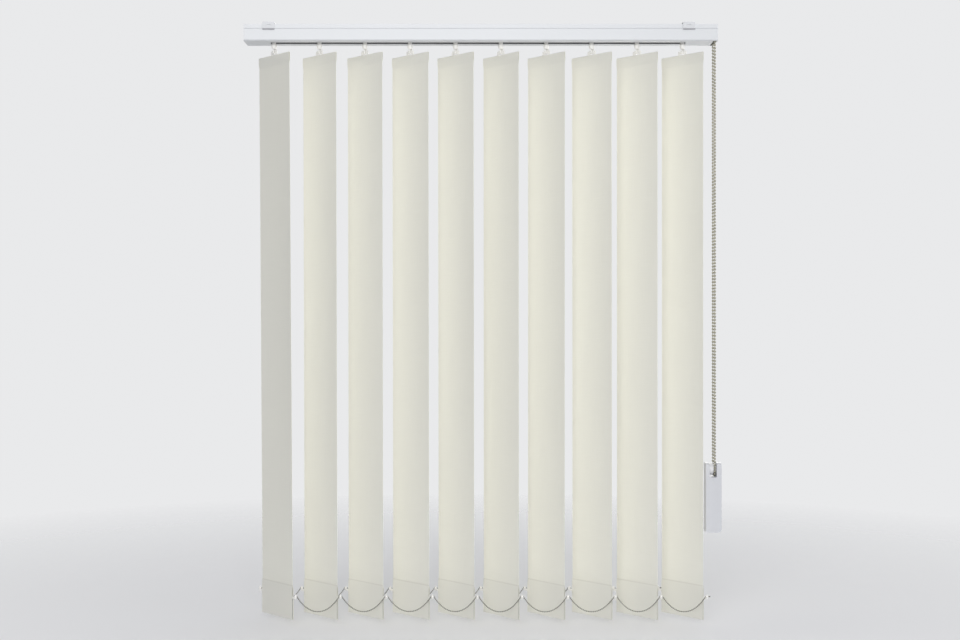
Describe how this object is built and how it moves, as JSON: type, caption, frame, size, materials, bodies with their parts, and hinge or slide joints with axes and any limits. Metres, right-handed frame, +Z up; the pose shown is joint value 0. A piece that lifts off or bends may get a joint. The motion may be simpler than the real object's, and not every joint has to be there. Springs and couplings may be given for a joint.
{
  "type": "vertical blind",
  "caption": "Vertical blind: fabric louvres hang from carriers in a headrail, turn together by a looped bead chain, slide aside, and are linked by chains below.",
  "frame": {"origin": "on the ceiling plane, midway between the two brackets' screw holes", "axes": "+X along the headrail towards the bead chain, +Y from the room to the window, +Z up"},
  "size_m": [0.794, 0.0826, 0.991],
  "materials": {
    "white_coat": "satin",
    "white_plastic": "satin",
    "carrier_plastic": "matt",
    "spring_steel": "satin",
    "rod_aluminium": "mill",
    "bead_metal": "tarnished",
    "weight_plastic": "satin",
    "roller_plastic": "matt",
    "link_plastic": "gloss",
    "louvre_fabric": "woven"
  },
  "bodies": {
    "rail": {"headrail": "white_coat", "control_end_cap": "white_plastic", "control_housing": "white_plastic", "far_end_cap": "white_plastic", "bracket_left": "white_coat", "bracket_right": "white_coat", "control_chain": "bead_metal", "weight_body": "weight_plastic", "weight_pin": "spring_steel", "carrier_10": "carrier_plastic"},
    "rod": {"tilt_rod": "rod_aluminium", "chain_sprocket": "white_plastic", "worm_10": "white_plastic"},
    "roller": {"weight_roller": "roller_plastic"},
    "front_chain": {"front_bottom_chain": "link_plastic"},
    "rear_chain": {"rear_bottom_chain": "link_plastic"},
    "carrier_01": {"carrier_01": "carrier_plastic"},
    "carrier_02": {"carrier_02": "carrier_plastic"},
    "carrier_03": {"carrier_03": "carrier_plastic"},
    "carrier_04": {"carrier_04": "carrier_plastic"},
    "carrier_05": {"carrier_05": "carrier_plastic"},
    "carrier_06": {"carrier_06": "carrier_plastic"},
    "carrier_07": {"carrier_07": "carrier_plastic"},
    "carrier_08": {"carrier_08": "carrier_plastic"},
    "carrier_09": {"carrier_09": "carrier_plastic"},
    "worm_01": {"worm_01": "white_plastic"},
    "worm_02": {"worm_02": "white_plastic"},
    "worm_03": {"worm_03": "white_plastic"},
    "worm_04": {"worm_04": "white_plastic"},
    "worm_05": {"worm_05": "white_plastic"},
    "worm_06": {"worm_06": "white_plastic"},
    "worm_07": {"worm_07": "white_plastic"},
    "worm_08": {"worm_08": "white_plastic"},
    "worm_09": {"worm_09": "white_plastic"},
    "louvre_01": {"hook_01": "white_plastic", "louvre_01": "louvre_fabric"},
    "louvre_02": {"hook_02": "white_plastic", "louvre_02": "louvre_fabric"},
    "louvre_03": {"hook_03": "white_plastic", "louvre_03": "louvre_fabric"},
    "louvre_04": {"hook_04": "white_plastic", "louvre_04": "louvre_fabric"},
    "louvre_05": {"hook_05": "white_plastic", "louvre_05": "louvre_fabric"},
    "louvre_06": {"hook_06": "white_plastic", "louvre_06": "louvre_fabric"},
    "louvre_07": {"hook_07": "white_plastic", "louvre_07": "louvre_fabric"},
    "louvre_08": {"hook_08": "white_plastic", "louvre_08": "louvre_fabric"},
    "louvre_09": {"hook_09": "white_plastic", "louvre_09": "louvre_fabric"},
    "louvre_10": {"hook_10": "white_plastic", "louvre_10": "louvre_fabric"}
  },
  "joints": [
    {"name": "tilt", "type": "hinge", "parent": "rail", "child": "louvre_10", "pos_m": [0.341, 0, 0], "axis": [0, 0, 1], "range_deg": [-120, 15]},
    {"name": "traverse", "type": "slide", "parent": "rail", "child": "carrier_01", "axis": [1, 0, 0], "range_m": [0, 0.468], "deforming": ["front_bottom_chain", "rear_bottom_chain"]},
    {"name": "slide_02", "type": "slide", "parent": "rail", "child": "carrier_02", "axis": [1, 0, 0], "range_m": [0, 0.4161]},
    {"name": "slide_03", "type": "slide", "parent": "rail", "child": "carrier_03", "axis": [1, 0, 0], "range_m": [0, 0.3641]},
    {"name": "slide_04", "type": "slide", "parent": "rail", "child": "carrier_04", "axis": [1, 0, 0], "range_m": [0, 0.3121]},
    {"name": "slide_05", "type": "slide", "parent": "rail", "child": "carrier_05", "axis": [1, 0, 0], "range_m": [0, 0.2601]},
    {"name": "slide_06", "type": "slide", "parent": "rail", "child": "carrier_06", "axis": [1, 0, 0], "range_m": [0, 0.2081]},
    {"name": "slide_07", "type": "slide", "parent": "rail", "child": "carrier_07", "axis": [1, 0, 0], "range_m": [0, 0.1561]},
    {"name": "slide_08", "type": "slide", "parent": "rail", "child": "carrier_08", "axis": [1, 0, 0], "range_m": [0, 0.1041]},
    {"name": "slide_09", "type": "slide", "parent": "rail", "child": "carrier_09", "axis": [1, 0, 0], "range_m": [0, 0.0521]},
    {"name": "tilt_01", "type": "hinge", "parent": "carrier_01", "child": "louvre_01", "pos_m": [-0.343, 0, 0], "axis": [0, 0, 1], "range_deg": [-120, 15]},
    {"name": "tilt_02", "type": "hinge", "parent": "carrier_02", "child": "louvre_02", "pos_m": [-0.267, 0, 0], "axis": [0, 0, 1], "range_deg": [-120, 15]},
    {"name": "tilt_03", "type": "hinge", "parent": "carrier_03", "child": "louvre_03", "pos_m": [-0.191, 0, 0], "axis": [0, 0, 1], "range_deg": [-120, 15]},
    {"name": "tilt_04", "type": "hinge", "parent": "carrier_04", "child": "louvre_04", "pos_m": [-0.115, 0, 0], "axis": [0, 0, 1], "range_deg": [-120, 15]},
    {"name": "tilt_05", "type": "hinge", "parent": "carrier_05", "child": "louvre_05", "pos_m": [-0.039, 0, 0], "axis": [0, 0, 1], "range_deg": [-120, 15]},
    {"name": "tilt_06", "type": "hinge", "parent": "carrier_06", "child": "louvre_06", "pos_m": [0.037, 0, 0], "axis": [0, 0, 1], "range_deg": [-120, 15]},
    {"name": "tilt_07", "type": "hinge", "parent": "carrier_07", "child": "louvre_07", "pos_m": [0.113, 0, 0], "axis": [0, 0, 1], "range_deg": [-120, 15]},
    {"name": "tilt_08", "type": "hinge", "parent": "carrier_08", "child": "louvre_08", "pos_m": [0.189, 0, 0], "axis": [0, 0, 1], "range_deg": [-120, 15]},
    {"name": "tilt_09", "type": "hinge", "parent": "carrier_09", "child": "louvre_09", "pos_m": [0.265, 0, 0], "axis": [0, 0, 1], "range_deg": [-120, 15]},
    {"name": "worm_slide_01", "type": "slide", "parent": "rod", "child": "worm_01", "axis": [1, 0, 0], "range_m": [0, 0.4681]},
    {"name": "worm_slide_02", "type": "slide", "parent": "rod", "child": "worm_02", "axis": [1, 0, 0], "range_m": [0, 0.4161]},
    {"name": "worm_slide_03", "type": "slide", "parent": "rod", "child": "worm_03", "axis": [1, 0, 0], "range_m": [0, 0.3641]},
    {"name": "worm_slide_04", "type": "slide", "parent": "rod", "child": "worm_04", "axis": [1, 0, 0], "range_m": [0, 0.3121]},
    {"name": "worm_slide_05", "type": "slide", "parent": "rod", "child": "worm_05", "axis": [1, 0, 0], "range_m": [0, 0.2601]},
    {"name": "worm_slide_06", "type": "slide", "parent": "rod", "child": "worm_06", "axis": [1, 0, 0], "range_m": [0, 0.2081]},
    {"name": "worm_slide_07", "type": "slide", "parent": "rod", "child": "worm_07", "axis": [1, 0, 0], "range_m": [0, 0.1561]},
    {"name": "worm_slide_08", "type": "slide", "parent": "rod", "child": "worm_08", "axis": [1, 0, 0], "range_m": [0, 0.1041]},
    {"name": "worm_slide_09", "type": "slide", "parent": "rod", "child": "worm_09", "axis": [1, 0, 0], "range_m": [0, 0.0521]},
    {"name": "rod_turn", "type": "hinge", "parent": "rail", "child": "rod", "pos_m": [0, -0.009, -0.0175], "axis": [1, 0, 0], "range_deg": [-150, 1200]},
    {"name": "roller_turn", "type": "hinge", "parent": "rail", "child": "roller", "pos_m": [0.3925, -0.009, -0.74357], "axis": [1, 0, 0], "range_deg": [-150, 1200]},
    {"name": "front_chain_turn", "type": "hinge", "parent": "louvre_10", "child": "front_chain", "pos_m": [0.37613, -0.03902, -0.952], "axis": [0, 0, 1], "range_deg": [-15, 120]},
    {"name": "rear_chain_turn", "type": "hinge", "parent": "louvre_10", "child": "rear_chain", "pos_m": [0.30587, 0.03902, -0.952], "axis": [0, 0, 1], "range_deg": [-15, 120]}
  ],
  "couplings": [
    {"joint": "slide_02", "follows": "traverse", "ratio": 0.88889},
    {"joint": "slide_03", "follows": "traverse", "ratio": 0.77778},
    {"joint": "slide_04", "follows": "traverse", "ratio": 0.66667},
    {"joint": "slide_05", "follows": "traverse", "ratio": 0.55556},
    {"joint": "slide_06", "follows": "traverse", "ratio": 0.44444},
    {"joint": "slide_07", "follows": "traverse", "ratio": 0.33333},
    {"joint": "slide_08", "follows": "traverse", "ratio": 0.22222},
    {"joint": "slide_09", "follows": "traverse", "ratio": 0.11111},
    {"joint": "tilt_01", "follows": "tilt", "ratio": 1},
    {"joint": "tilt_02", "follows": "tilt", "ratio": 1},
    {"joint": "tilt_03", "follows": "tilt", "ratio": 1},
    {"joint": "tilt_04", "follows": "tilt", "ratio": 1},
    {"joint": "tilt_05", "follows": "tilt", "ratio": 1},
    {"joint": "tilt_06", "follows": "tilt", "ratio": 1},
    {"joint": "tilt_07", "follows": "tilt", "ratio": 1},
    {"joint": "tilt_08", "follows": "tilt", "ratio": 1},
    {"joint": "tilt_09", "follows": "tilt", "ratio": 1},
    {"joint": "worm_slide_01", "follows": "traverse", "ratio": 1},
    {"joint": "worm_slide_02", "follows": "traverse", "ratio": 0.88889},
    {"joint": "worm_slide_03", "follows": "traverse", "ratio": 0.77778},
    {"joint": "worm_slide_04", "follows": "traverse", "ratio": 0.66667},
    {"joint": "worm_slide_05", "follows": "traverse", "ratio": 0.55556},
    {"joint": "worm_slide_06", "follows": "traverse", "ratio": 0.44444},
    {"joint": "worm_slide_07", "follows": "traverse", "ratio": 0.33333},
    {"joint": "worm_slide_08", "follows": "traverse", "ratio": 0.22222},
    {"joint": "worm_slide_09", "follows": "traverse", "ratio": 0.11111},
    {"joint": "rod_turn", "follows": "tilt", "ratio": -10},
    {"joint": "roller_turn", "follows": "tilt", "ratio": -10},
    {"joint": "front_chain_turn", "follows": "tilt", "ratio": -1},
    {"joint": "rear_chain_turn", "follows": "tilt", "ratio": -1}
  ]
}
